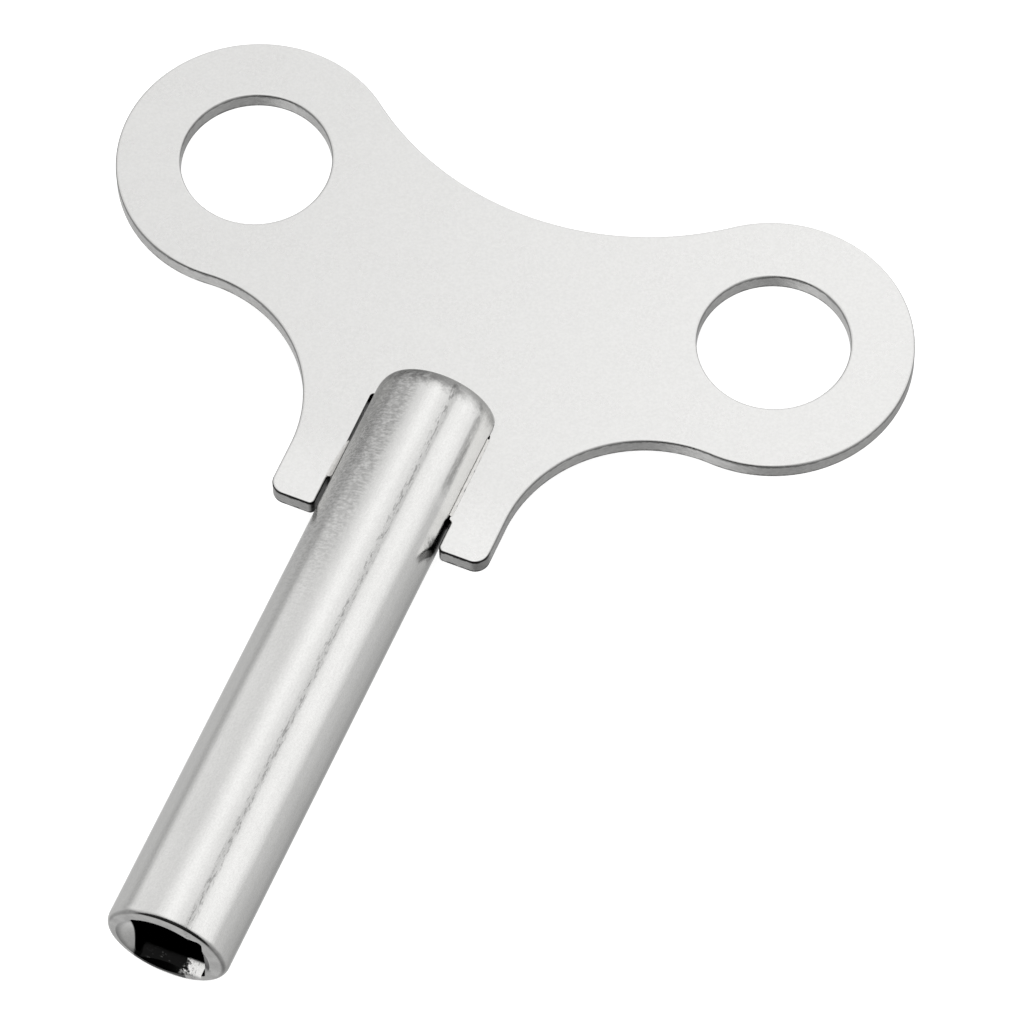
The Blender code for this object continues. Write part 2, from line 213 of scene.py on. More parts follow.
# A painted dark reflection streak along the whole bar, and a shorter darker streak by the joint
STREAK_X = 1.62 * MM
STREAK_FADE = (0.42 * MM, 0.05 * MM)
STREAK_SHADE = 0.6
SIDE_STREAK_X = 3.74 * MM
SIDE_STREAK_FADE = (0.34 * MM, 0.06 * MM)
SIDE_STREAK_LOW_Y = (-22.5 * MM, -20.0 * MM)
SIDE_STREAK_HIGH_Y = (-14.0 * MM, -15.0 * MM)
SIDE_STREAK_SHADE = 0.62
# A painted highlight beside the right leg, above the plate's middle, standing in for the bright plate's
# reflection
PLATE_REFLECTION_FADE_X = (3.2 * MM, 3.9 * MM)
PLATE_REFLECTION_FADE_Y = (-22.6 * MM, -21.8 * MM)
PLATE_REFLECTION_FADE_Z = (0.4 * MM, 0.8 * MM)
PLATE_REFLECTION_GAIN = 1.1
# Painted shade on the rounding at the top
TOP_FADE = (SHANK_TOP_Y - 1.7 * MM, SHANK_TOP_Y - 0.3 * MM)
TOP_UNEVEN = 0.3 * MM
TOP_LEFT_TO_RIGHT = (-1.0 * MM, 3.6 * MM)
TOP_PAINTED_LOSS = (0.76, 0.5)  # at the left and at the right
# Painted shade on the bar beside the legs, level with the plate, and a painted dark reflection of the right
# leg above it
BESIDE_LEGS_LOW_Y = (-25.3 * MM, -24.4 * MM)
BESIDE_LEGS_HIGH_Y = (-21.6 * MM, -22.1 * MM)
BESIDE_LEGS_LEVEL = (1.15 * MM, 0.75 * MM)
BLOT_UNEVEN = 0.25 * MM
BESIDE_LEGS_PAINTED_SHADE = 0.07
LEG_REFLECTION_Y = -24.9 * MM
LEG_REFLECTION_Z = 1.0 * MM
LEG_REFLECTION_FADE = (1.3 * MM, 0.2 * MM)
LEG_REFLECTION_FADE_X = (2.0 * MM, 3.0 * MM)
LEG_REFLECTION_STRENGTH = 0.8
# Painted shade on the mouth's lower lip, mottled
LIP_FADE_Y = (MOUTH_Y + 1.6 * MM, MOUTH_Y + 1.1 * MM)
LIP_FADE_Z = (-2.1 * MM, -2.5 * MM)
LIP_LOW_Z = (-4.1 * MM, -3.85 * MM)
LIP_LEFT_X = (-3.1 * MM, -2.5 * MM)
LIP_RIGHT_X = (1.3 * MM, 0.8 * MM)
LIP_PAINTED_SHADE = 0.01
# Painted shade in the socket and on the upper part of the countersink, and where it ends inside
SOCKET_FADE_X = (SOCKET_FLATS / 2 + 0.1 * MM, SOCKET_FLATS / 2 + 0.05 * MM)
SOCKET_FADE_Z = (SOCKET_FLATS / 2 + 0.06 * MM, SOCKET_FLATS / 2 + 0.01 * MM)
SOCKET_FADE_Y = (0.1 * MM, 0.3 * MM)
SINK_FADE = (COUNTERSINK_RADIUS + 0.01 * MM, COUNTERSINK_RADIUS - 0.04 * MM)
SINK_FADE_X = (-2.75 * MM, -2.62 * MM)
SINK_FADE_Z = (-1.6 * MM, -1.0 * MM)
SINK_FADE_Y = (0.005 * MM, 0.02 * MM)
HOLE_END_Y = (-44.0 * MM, -45.0 * MM)
SOCKET_SHADE_LEFT = (0.008, 0.05)  # the least and the most light that the painted shade keeps
# Painted shade on the mouth's flat ring
RING_FADE = (0.22 * MM, 0.04 * MM)
RING_PAINTED_LOSS = (0.5, 0.36)

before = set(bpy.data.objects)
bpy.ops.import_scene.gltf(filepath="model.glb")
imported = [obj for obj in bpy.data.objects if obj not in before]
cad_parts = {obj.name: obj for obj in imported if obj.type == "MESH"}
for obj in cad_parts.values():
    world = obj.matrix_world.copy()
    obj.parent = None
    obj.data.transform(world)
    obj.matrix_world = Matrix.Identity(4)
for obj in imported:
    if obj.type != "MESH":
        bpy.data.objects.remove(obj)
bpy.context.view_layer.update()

node_low, node_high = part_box("wing_plate")
PLATE_MID_Z = (node_low[2] + node_high[2]) / 2
DESIGN_ORIGIN = Vector((0.0, node_high[1] - EAR_Y - EAR_RADIUS, PLATE_MID_Z))


# ---------------------------------------------------------------- meshes


def arc(centre, radius, start, end, metal=1, shares=(1.0, 1.0)):
    """Rim points along an arc, with chords no further than CHORD_SAG from it: (x, y, normal x, normal y,
    share of the edge rounding). metal is 1 where the metal is inside the arc and -1 where it is outside."""
    widest = 2 * math.acos(1 - CHORD_SAG / radius)
    steps = max(FEWEST_ARC_STEPS, math.ceil(abs(end - start) / widest))
    points = []
    for i in range(steps + 1):
        along = i / steps
        angle = start + (end - start) * along
        across, up = math.cos(angle), math.sin(angle)
        share = shares[0] + (shares[1] - shares[0]) * along
        x, y = centre[0] + radius * across, centre[1] + radius * up
        points.append((x, y, metal * across, metal * up, share))
    return points


def shank_side_x(y):
    """How far the leaning shank's right side is from the key's middle at this Y."""
    return SHANK_RADIUS / math.cos(SHANK_LEAN) + (y - SHANK_CROSSING_Y) * math.tan(SHANK_LEAN)


def half_rim(cutout_low_x, cutout_high_x):
    """The right half of the plate's outer rim, from the waist down to the cut-out's top."""
    right, quarter = 0.0, math.pi / 2
    # The waist's arc touches both ear circles from outside.
    drop = EAR_RADIUS - WAIST_TOP_Y
    waist_y = (EAR_X**2 + EAR_Y**2 - drop**2) / (2 * (drop + EAR_Y))
    # The flank's arc touches the ear circle and the leg's outer side.
    flank_x = LEG_OUTER_X + FLANK_RADIUS
    flank_y = EAR_Y - math.sqrt((EAR_RADIUS + FLANK_RADIUS) ** 2 - (flank_x - EAR_X) ** 2)
    to_ear = math.atan2(EAR_Y - waist_y, EAR_X)
    to_flank = math.atan2(flank_y - EAR_Y, flank_x - EAR_X)
    outer = (LEG_OUTER_X - LEG_OUTER_CORNER, LEG_END_Y + LEG_OUTER_CORNER)
    inner = (LEG_INNER_X + LEG_INNER_CORNER, LEG_END_Y + LEG_INNER_CORNER)
    # Two equal arcs step the leg's inner side in to the cut-out.
    bend = 2 * math.atan2(LEG_INNER_X - cutout_low_x, LEG_SHOULDER_RISE)
    bend_radius = LEG_SHOULDER_RISE / (2 * math.sin(bend))
    lower = (LEG_INNER_X - bend_radius, LEG_SHOULDER_Y)
    upper = (cutout_low_x + bend_radius, LEG_SHOULDER_Y + LEG_SHOULDER_RISE)
    corner = (cutout_high_x - CUTOUT_CORNER, CUTOUT_TOP_Y - CUTOUT_CORNER)
    little = CUTOUT_EDGE_SHARE
    return [
        *arc((0.0, waist_y), waist_y - WAIST_TOP_Y, -quarter, to_ear, -1),
        *arc((EAR_X, EAR_Y), EAR_RADIUS, to_ear + math.pi, to_flank)[1:],
        *arc((flank_x, flank_y), FLANK_RADIUS, to_flank + math.pi, math.pi, -1)[1:],
        *arc(outer, LEG_OUTER_CORNER, right, -quarter),
        *arc(inner, LEG_INNER_CORNER, -quarter, -math.pi),
        *arc(lower, bend_radius, right, bend, -1, (1.0, little)),
        *arc(upper, bend_radius, bend + math.pi, math.pi, 1, (little, little))[1:],
        *arc(corner, CUTOUT_CORNER, right, quarter, -1, (little, little)),
    ]


def plate_rims():
    """The plate's outer rim, whose cut-out follows the shank closely on the right, and its holes' rims."""
    low_x = shank_side_x(LEG_SHOULDER_Y + LEG_SHOULDER_RISE) + CUTOUT_RIGHT_PLAY
    high_x = shank_side_x(CUTOUT_TOP_Y - CUTOUT_CORNER) + CUTOUT_RIGHT_PLAY
    right = half_rim(low_x, high_x)
    left = reversed(half_rim(CUTOUT_LEFT_X, CUTOUT_LEFT_X)[1:])
    outer = right + [(-x, y, -nx, ny, share) for x, y, nx, ny, share in left]
    holes = [
        arc((side * HOLE_SPACING / 2, 0.0), HOLE_RADIUS, 0.0, 2 * math.pi, -1)[:-1]
        for side in (-1, 1)
    ]
    return [outer, *holes]


def evaluated_mesh(source, name):
    """A new mesh of an object's evaluated shape, with doubled points welded."""
    bpy.context.view_layer.update()
    evaluated = source.evaluated_get(bpy.context.evaluated_depsgraph_get())
    mesh = bpy.data.meshes.new_from_object(evaluated)
    mesh.name = name
    work = bmesh.new()
    work.from_mesh(mesh)
    bmesh.ops.remove_doubles(work, verts=work.verts, dist=WELD_DISTANCE)
    bmesh.ops.recalc_face_normals(work, faces=work.faces)
    work.to_mesh(mesh)
    work.free()
    return mesh


def as_mesh(source, name):
    """Replaces an object by a mesh object of its evaluated shape."""
    made = new_object(name, evaluated_mesh(source, name))
    made.matrix_world = source.matrix_world.copy()
    bpy.data.objects.remove(source, do_unlink=True)
    return made


def new_object(name, data):
    made = bpy.data.objects.new(name, data)
    bpy.context.scene.collection.objects.link(made)
    return made


def bake_place(obj):
    """Moves an object's place into its vertices, so that it sits at the origin as the CAD nodes do."""
    obj.data.transform(obj.matrix_world)
    obj.matrix_world = Matrix.Identity(4)


def smooth_shade(obj, flats=()):
    """Smooth shading, broken at the sharp edges. Faces square to one of flats stay flat."""
    obj.data.shade_smooth()
    obj.data.set_sharp_from_angle(angle=SHARP_ANGLE)
    for polygon in obj.data.polygons:
        if any(abs(polygon.normal.dot(flat)) > FLAT_COSINE for flat in flats):
            polygon.use_smooth = False


def make_wing_plate():
    """The stamped plate with its two ears, two holes and the two legs beside its cut-out."""
    work = bmesh.new()
    normals = []
    for rim in plate_rims():
        rings = []
        for face in (-1, 1):
            for step in range(EDGE_SEGMENTS + 1):
                turn = math.pi / 2 * (step if face > 0 else EDGE_SEGMENTS - step) / EDGE_SEGMENTS
                ring = []
                for x, y, nx, ny, share in rim:
                    rounding = PLATE_EDGE_ROUNDING * share
                    inset = rounding * (1 - math.cos(turn))
                    height = face * (PLATE_THICKNESS / 2 - rounding * (1 - math.sin(turn)))
                    place = Vector((x - nx * inset, y - ny * inset, height)) + DESIGN_ORIGIN
                    ring.append(work.verts.new(place))
                    normals.append((nx * math.cos(turn), ny * math.cos(turn), face * math.sin(turn)))
                rings.append(ring)
        for lower, upper in zip(rings, rings[1:]):
            for i in range(len(rim)):
                work.faces.new((lower[i - 1], lower[i], upper[i], upper[i - 1]))
    for face in (-1, 1):
        open_edges = [e for e in work.edges if len(e.link_faces) == 1]
        border = [e for e in open_edges if (e.verts[0].co.z - PLATE_MID_Z) * face > 0]
        bmesh.ops.triangle_fill(work, use_beauty=True, use_dissolve=False, edges=border)
    bmesh.ops.recalc_face_normals(work, faces=work.faces)
    mesh = bpy.data.meshes.new("plated_wing_plate")
    work.to_mesh(mesh)
    work.free()
    mesh.shade_smooth()
    mesh.normals_split_custom_set_from_vertices(normals)
    return new_object("plated_wing_plate", mesh)


def rounded_end(radius, depth, length, end, inward):
    """Profile points of an elliptical rounding from the end face (first) to the bar's side (last)."""
    points = []
    for i in range(ROUNDING_STEPS + 1):
        turn = math.pi / 2 * i / ROUNDING_STEPS
        r = radius - depth + depth * math.sin(turn)
        points.append((r, end + inward * length * (1 - math.cos(turn))))
    return points


def lathe(name, profile, steps=SHANK_STEPS):
    """A solid turned about local Z from (radius, height) points that run from top to bottom."""
    mesh = bpy.data.meshes.new(name)
    work = bmesh.new()
    row = [work.verts.new((r, 0.0, z)) for r, z in profile]
    for first, second in zip(row, row[1:]):
        work.edges.new((first, second))
    work.to_mesh(mesh)
    work.free()
    turned = new_object(name, mesh)
    screw = turned.modifiers.new("turn", "SCREW")
    screw.axis = "Z"
    screw.steps = steps
    screw.render_steps = steps
    screw.use_merge_vertices = True
    screw.merge_threshold = WELD_DISTANCE
    return as_mesh(turned, name)


def shank_matrix():
    """The key's frame turned onto the shank: its Y runs along the leaning axis, from mouth to top."""
    crossing = Vector((0.0, SHANK_CROSSING_Y, 0.0))
    lean = Matrix.Rotation(-SHANK_LEAN, 4, "Z")
    return Matrix.Translation(DESIGN_ORIGIN + crossing) @ lean @ Matrix.Translation(-crossing)


def mouth_matrix():
    """The frame of the mouth's face: its origin on the shank's axis, its Z pointing out of the socket."""
    out = Vector((MOUTH_SLOPE_X, -1.0, MOUTH_SLOPE_Z)).normalized()
    across = Vector((1.0, MOUTH_SLOPE_X, 0.0)).normalized()
    other = out.cross(across).normalized()
    turn = Matrix((across, other, out)).transposed().to_4x4()
    return shank_matrix() @ Matrix.Translation((0.0, MOUTH_Y, 0.0)) @ turn


def crop_ends(mesh):
    """Leans both ends out of square. The bar's side stays a true cylinder."""
    for vertex in mesh.vertices:
        x, z = vertex.co.x, -vertex.co.y
        if vertex.co.z < (MOUTH_Y + SHANK_TOP_Y) / 2:
            vertex.co.z += MOUTH_SLOPE_X * x + MOUTH_SLOPE_Z * z
        else:
            vertex.co.z += TOP_SLOPE_X * x


def box_cutter(name, low, high, edge_radius=0.0):
    """A box between two corners. An edge_radius rounds its four edges along Y."""
    mesh = bpy.data.meshes.new(name)
    work = bmesh.new()
    size = high - low
    bmesh.ops.create_cube(work, size=1.0)
    bmesh.ops.scale(work, vec=size, verts=work.verts)
    bmesh.ops.translate(work, vec=(low + high) / 2, verts=work.verts)
    if edge_radius:
        along = [e for e in work.edges if abs(e.verts[0].co.y - e.verts[1].co.y) > size.y / 2]
        bmesh.ops.bevel(
            work,
            geom=along,
            offset=edge_radius,
            segments=CORNER_SEGMENTS,
            profile=0.5,
            affect="EDGES",
        )
    work.to_mesh(mesh)
    work.free()
    return new_object(name, mesh)


def countersink_cutter():
    """A shallow cone, wide past the mouth's face and closing inside the socket."""
    height = COUNTERSINK_RADIUS * COUNTERSINK_SLOPE
    grown = (height + CUT_PAST) / COUNTERSINK_SLOPE
    cone = lathe("countersink_cutter", [(0.0, CUT_PAST), (grown, CUT_PAST), (0.0, -height)])
    cone.matrix_world = mouth_matrix() @ Matrix.Translation((COUNTERSINK_X, COUNTERSINK_Z, 0.0))
    return cone


def pilot_cutter():
    """The drilled pilot hole with its conical drill point."""
    point = PILOT_RADIUS / math.tan(DRILL_POINT_ANGLE / 2)
    profile = [
        (0.0, point),
        (PILOT_RADIUS, 0.0),
        (PILOT_RADIUS, -PILOT_DEPTH / 2),
        (0.0, -PILOT_DEPTH / 2),
    ]
    hole = lathe("pilot_cutter", profile, SHANK_STEPS // 2)
    bottom = DESIGN_ORIGIN + Vector((SOCKET_X, MOUTH_Y + PILOT_DEPTH, 0.0))
    hole.matrix_world = Matrix.Translation(bottom) @ Matrix.Rotation(-math.pi / 2, 4, "X")
    return hole


def lead_in_cutter():
    """A wedge along the socket's lower edge, sloping from the mouth's face down to nothing inside."""
    floor_z = -SOCKET_FLATS / 2

    def on_slope(depth):
        return (MOUTH_Y + depth, floor_z - LEAD_IN_DROP * (1 - depth / LEAD_IN_DEPTH))

    outside, inside = on_slope(-CUT_PAST), on_slope(2 * LEAD_IN_DEPTH)
    section = [outside, inside, (outside[0], inside[1])]
    work = bmesh.new()
    ends = [
        [work.verts.new((SOCKET_X + side * LEAD_IN_HALF_WIDTH, y, z)) for y, z in section]
        for side in (-1, 1)
    ]
    for i in range(3):
        work.faces.new((ends[0][i - 1], ends[0][i], ends[1][i], ends[1][i - 1]))
    work.faces.new(ends[0])
    work.faces.new(ends[1])
    bmesh.ops.recalc_face_normals(work, faces=work.faces)
    mesh = bpy.data.meshes.new("lead_in_cutter")
    work.to_mesh(mesh)
    work.free()
    wedge = new_object("lead_in_cutter", mesh)
    wedge.location = DESIGN_ORIGIN
    return wedge


def make_socket_shank():
    """The turned bar with its plate slot at one end and its square socket at the other."""
    top = rounded_end(SHANK_RADIUS, TOP_ROUNDING_DEPTH, TOP_ROUNDING_LENGTH, SHANK_TOP_Y, -1)
    mouth = rounded_end(SHANK_RADIUS, MOUTH_ROUNDING_DEPTH, MOUTH_ROUNDING_LENGTH, MOUTH_Y, 1)
    profile = [(0.0, SHANK_TOP_Y), *top, *reversed(mouth), (0.0, MOUTH_Y)]
    shank = lathe("plated_socket_shank", profile)
    crop_ends(shank.data)
    shank.matrix_world = shank_matrix() @ Matrix.Rotation(-math.pi / 2, 4, "X")

    half_slot = PLATE_THICKNESS / 2 + SLOT_PLAY
    wide = SHANK_RADIUS + CUT_PAST
    slot_end_y = CUTOUT_TOP_Y - CUTOUT_CORNER - SLOT_END_PLAY
    half_flats = SOCKET_FLATS / 2
    cutters = [
        box_cutter(
            "slot_cutter",
            DESIGN_ORIGIN + Vector((-wide, slot_end_y, -half_slot)),
            DESIGN_ORIGIN + Vector((wide, SHANK_TOP_Y + CUT_PAST, half_slot)),
        ),
        countersink_cutter(),
        box_cutter(
            "socket_cutter",
            DESIGN_ORIGIN + Vector((SOCKET_X - half_flats, MOUTH_Y - CUT_PAST, -half_flats)),
            DESIGN_ORIGIN + Vector((SOCKET_X + half_flats, MOUTH_Y + SOCKET_DEPTH, half_flats)),
            SOCKET_CORNER,
        ),
        lead_in_cutter(),
        pilot_cutter(),
    ]
    for cutter in cutters:
        boolean = shank.modifiers.new(cutter.name, "BOOLEAN")
        boolean.operation = "DIFFERENCE"
        boolean.solver = "EXACT"
        boolean.object = cutter
    shank = as_mesh(shank, "plated_socket_shank")
    for cutter in cutters:
        bpy.data.objects.remove(cutter, do_unlink=True)
    bpy.context.view_layer.update()
    bake_place(shank)
    flats = [Vector((1.0, 0.0, 0.0)), Vector((0.0, 0.0, 1.0)), mouth_matrix().col[2].xyz]
    smooth_shade(shank, flats)
    return shank


def braze_section(side, toe, rise, gap, y):
    """A run's section at one station: a hollow, slightly lumpy face between two straight legs."""
    corner_z = PLATE_THICKNESS / 2 + gap
    points = []
    for i in range(BRAZE_FACE_STEPS + 1):
        share = i / BRAZE_FACE_STEPS
        turn = math.pi / 2 * share
        uneven = noise.noise((share * BRAZE_LUMPS_UP, y / BRAZE_LUMP_LENGTH, BRAZE_LUMP_SEED))
        lump = BRAZE_LUMP * toe * math.sin(math.pi * share) * uneven
        away = toe * (1 - math.sin(turn)) + lump
        height = corner_z + rise * (1 - math.cos(turn)) + lump
        points.append((max(away, 0.0), max(height, corner_z)))
    points.append((0.0, corner_z))
    return [(side * (math.sqrt(SHANK_RADIUS**2 - z**2) + gap + away), z) for away, z in points]


def make_braze(node):
    """A run of braze beside the shank, thinning out towards the ears."""
    side, start_y, end_y, toe, rise, gap, thinnest = BRAZE_RUNS[node]
    work = bmesh.new()
    rings = []
    for i in range(BRAZE_STATIONS + 1):
        along = i / BRAZE_STATIONS
        fall = math.cos(math.pi / 2 * along) ** BRAZE_THINNING_POWER
        size = thinnest + (1 - thinnest) * fall
        y = start_y + (end_y - start_y) * along
        section = braze_section(side, toe * size, rise * size, gap, y)
        rings.append([work.verts.new((x, y, z)) for x, z in section])
    count = len(rings[0])
    for first, second in zip(rings, rings[1:]):
        for i in range(count):
            j = (i + 1) % count
            work.faces.new((first[i], first[j], second[j], second[i]))
    work.faces.new(rings[0])
    work.faces.new(list(reversed(rings[-1])))
    bmesh.ops.recalc_face_normals(work, faces=work.faces)
    mesh = bpy.data.meshes.new("plated_" + node)
    work.to_mesh(mesh)
    work.free()
    run = new_object("plated_" + node, mesh)
    run.matrix_world = shank_matrix()
    bpy.context.view_layer.update()
    bake_place(run)
    smooth_shade(run)
    return run


# ---------------------------------------------------------------- materials


class Tree:
    """Short calls for a material's or world's nodes."""

    def __init__(self, owner):
        owner.use_nodes = True
        self.nodes = owner.node_tree.nodes
        self.links = owner.node_tree.links

    def add(self, kind, inputs=None, **settings):
        made = self.nodes.new(kind)
        for key, value in settings.items():
            setattr(made, key, value)
        for key, value in (inputs or {}).items():
            self.put(made.inputs[key], value)
        return made

    def put(self, socket, value):
        if isinstance(value, bpy.types.NodeSocket):
            self.links.new(value, socket)
        else:
            socket.default_value = value

    def math(self, operation, *values):
        made = self.add("ShaderNodeMath", operation=operation)
        for socket, value in zip(made.inputs, values):
            self.put(socket, value)
        return made.outputs[0]

    def between(self, value, low, high, to_low=0.0, to_high=1.0):
        """value remapped smoothly from low..high to to_low..to_high."""
        made = self.add(
            "ShaderNodeMapRange",
            {"Value": value, "From Min": low, "From Max": high, "To Min": to_low, "To Max": to_high},
            interpolation_type="SMOOTHSTEP",
        )
        return made.outputs["Result"]

    def noise(self, vector, size, detail=2.0, rough=0.5, stretch=(1.0, 1.0, 1.0)):
        """Noise from 0 to 1 with features of this size in metres. stretch lengthens them along an axis."""
        mapped = self.add(
            "ShaderNodeMapping",
            {"Vector": vector, "Scale": tuple(1.0 / (size * s) for s in stretch)},
        )
        made = self.add(
            "ShaderNodeTexNoise",
            {"Vector": mapped.outputs[0], "Scale": 1.0, "Detail": detail, "Roughness": rough},
        )
        return made.outputs["Fac"]

    def product(self, *values):
        """All of the values multiplied."""
        made = values[0]
        for value in values[1:]:
            made = self.math("MULTIPLY", made, value)
        return made

    def masked(self, mask, share):
        """1 where the mask is 0, fading smoothly to share where it is 1."""
        return self.between(mask, 0.0, 1.0, 1.0, share)

    def less(self, mask, loss=1.0):
        """1 less mask times loss."""
        return self.math("SUBTRACT", 1.0, self.math("MULTIPLY", mask, loss))

    def away(self, value, middle):
        """How far a value is from a middle."""
        return self.math("ABSOLUTE", self.math("SUBTRACT", value, middle))

    def reach(self, first, second):
        """The length of a step with these two sides."""
        squares = [self.math("POWER", side, 2.0) for side in (first, second)]
        return self.math("SQRT", self.math("ADD", *squares))

    def bump(self, height, distance, normal=None):
        made = self.add("ShaderNodeBump", {"Height": height, "Distance": distance, "Strength": 1.0})
        if normal is not None:
            self.links.new(normal, made.inputs["Normal"])
        return made.outputs["Normal"]

    def tint(self, colour, factor):
        """colour scaled by a factor socket."""
        made = self.add("ShaderNodeVectorMath", {0: colour}, operation="SCALE")
        self.links.new(factor, made.inputs["Scale"])
        return made.outputs[0]


def new_metal(name):
    """(material, tree, its Principled BSDF, an object-coordinates socket)."""
    material = bpy.data.materials.new(name)
    tree = Tree(material)
    shader = tree.nodes["Principled BSDF"]
    shader.inputs["Metallic"].default_value = 1.0
    where = tree.add("ShaderNodeTexCoord").outputs["Object"]
    return material, tree, shader, where


def plated_plate():
    """Satin nickel plating on rolled sheet: the sheared walls are greyer, painted shade darkens the joint,
    a line under the upper edge and the legs' end walls, and painted light brightens the legs and the right.
    """
    material, tree, shader, where = new_metal("plated_plate")
    cloud = tree.noise(where, 3.0 * MM, detail=3.0)
    speckle = tree.noise(where, 0.22 * MM, detail=3.0, rough=0.7)
    grain = tree.noise(where, 0.25 * MM, detail=2.0, rough=0.6)
    dents = tree.noise(where, 1.6 * MM, detail=2.0)
    shear = tree.noise(where, 0.5 * MM, detail=3.0, rough=0.7, stretch=(1.0, 1.0, 0.5))
    x, y, z = tree.add("ShaderNodeSeparateXYZ", {0: where}).outputs
    along = tree.math("SUBTRACT", y, DESIGN_ORIGIN.y)
    off_middle = tree.away(z, PLATE_MID_Z)
    wall = tree.between(off_middle, *WALL_FADE)
    # Painted shade on the walls inside the joint
    joint = tree.product(
        wall,
        tree.between(tree.math("ABSOLUTE", x), *JOINT_FADE_X),
        tree.between(along, *JOINT_FADE_Y),
    )
    # Painted light grows from left to right and lightens the legs; painted shade falls on the walls and in
    # the joint
    shade = tree.product(
        tree.between(x, -ACROSS_X, ACROSS_X, *ACROSS_PAINTED_LIGHT),
        tree.between(cloud, *NOISE, 0.975, 1.0),
        tree.between(speckle, *WIDE_NOISE, 0.955, 1.03),
        tree.between(along, *LEGS_FADE, 1.0, LEGS_PAINTED_LIGHT),
        sheared_walls_and_painted_shade(tree, along, off_middle, wall, shear),
        tree.masked(joint, JOINT_PAINTED_SHADE),
    )
    tree.put(shader.inputs["Base Color"], tree.tint(PLATE_COLOUR, shade))
    tree.put(shader.inputs["Roughness"], tree.between(cloud, *WIDE_NOISE, *PLATE_ROUGHNESS))
    normal = tree.bump(dents, 0.012 * MM)
    normal = tree.bump(grain, 0.0025 * MM, normal)
    normal = tree.bump(tree.math("MULTIPLY", shear, wall), 0.03 * MM, normal)
    tree.put(shader.inputs["Normal"], normal)
    return material


def sheared_walls_and_painted_shade(tree, along, off_middle, wall, shear):
    """Shade of the plate's walls: their sheared grey, and a painted dark, uneven reflection line just under
    the upper edge. The line and a painted shade on the walls are heaviest on the legs' ends."""
    uneven = tree.between(shear, *NOISE, -LINE_UNEVEN, LINE_UNEVEN)
    line = tree.product(
        tree.between(tree.math("ADD", off_middle, uneven), *LINE_LOW),
        tree.between(off_middle, *LINE_HIGH),
    )
    by_ends = tree.between(along, *LEG_ENDS_FADE)
    return tree.product(
        tree.between(tree.math("MULTIPLY", wall, shear), 0.0, 0.75, 1.0, WALL_SHADE),
        tree.less(line, tree.between(by_ends, 0.0, 1.0, *LINE_PAINTED_LOSS)),
        tree.masked(tree.math("MULTIPLY", by_ends, wall), LEG_ENDS_PAINTED_SHADE),
    )


class Bar:
    """Where a point of the bar is, and the noises that its marks share."""

    def __init__(self, tree, where):
        self.x, y, z = tree.add("ShaderNodeSeparateXYZ", {0: where}).outputs
        self.along = tree.math("SUBTRACT", y, DESIGN_ORIGIN.y)
        self.height = tree.math("SUBTRACT", z, PLATE_MID_Z)
        lean = tree.math("MULTIPLY", self.x, MOUTH_SLOPE_X)
        self.from_face = tree.math("SUBTRACT", tree.math("SUBTRACT", self.along, MOUTH_Y), lean)
        self.waves = tree.noise(where, 1.2 * MM, detail=2.0, stretch=(1.0, 2.5, 1.0))
        self.scuffs = tree.noise(where, 0.3 * MM, detail=3.0, rough=0.7, stretch=(1.6, 0.6, 1.0))
        self.blots = tree.noise(where, 0.7 * MM, detail=4.0, rough=0.7)
        self.marks = tree.noise(where, 0.13 * MM, detail=3.0, rough=0.7, stretch=(1.0, 5.0, 1.0))
        self.spread = tree.between(self.blots, *NOISE, -BLOT_UNEVEN, BLOT_UNEVEN)


def scuffed_patch_and_painted_shade(tree, bar):
    """(mask of the scuffs, shade of the scuffs and of a painted shade in the top left corner): the scuffs
    are strongest at the top left, fading towards the mouth.
    """
    patch = tree.product(tree.between(bar.along, *PATCH_FADE_Y), tree.between(bar.x, *PATCH_FADE_X))
    mottle = tree.math("MULTIPLY", patch, tree.between(bar.scuffs, *NOISE, *PATCH_MOTTLE))
    uneven = tree.math("MULTIPLY", bar.blots, CORNER_UNEVEN)
    corner = tree.product(
        tree.between(tree.math("ADD", bar.along, uneven), *CORNER_FADE_Y),
        tree.between(bar.x, *CORNER_FADE_X),
    )
    most = PATCH_MOTTLE[1]
    shade = tree.between(mottle, 0.0, most, 1.0, PATCH_SHADE)
    return patch, tree.math("MULTIPLY", shade, tree.masked(corner, CORNER_PAINTED_SHADE))


def marks_and_painted_reflections(tree, bar):
    """Shade of the fine drawing marks, with a painted dark reflection streak along the bar, a shorter
    darker streak by the joint and a painted highlight by the right leg.
    """
    streak = tree.product(
        tree.between(tree.away(bar.x, STREAK_X), *STREAK_FADE),
        tree.between(bar.marks, 0.47, 0.62),
    )
    side_streak = tree.product(
        tree.between(tree.away(bar.x, SIDE_STREAK_X), *SIDE_STREAK_FADE),
        tree.between(bar.along, *SIDE_STREAK_LOW_Y),
        tree.between(bar.along, *SIDE_STREAK_HIGH_Y),
        tree.between(bar.marks, 0.35, 0.6, 0.45, 1.0),
    )
    # Painted highlight for the bright plate's reflection beside the right leg
    plate_reflection = tree.product(
        tree.between(bar.x, *PLATE_REFLECTION_FADE_X),
        tree.between(bar.along, *PLATE_REFLECTION_FADE_Y),
        tree.between(bar.height, *PLATE_REFLECTION_FADE_Z),
    )
    return tree.product(
        tree.between(bar.marks, *NOISE, 0.975, 1.02),
        tree.masked(streak, STREAK_SHADE),
        tree.masked(side_streak, SIDE_STREAK_SHADE),
        tree.masked(plate_reflection, PLATE_REFLECTION_GAIN),
    )


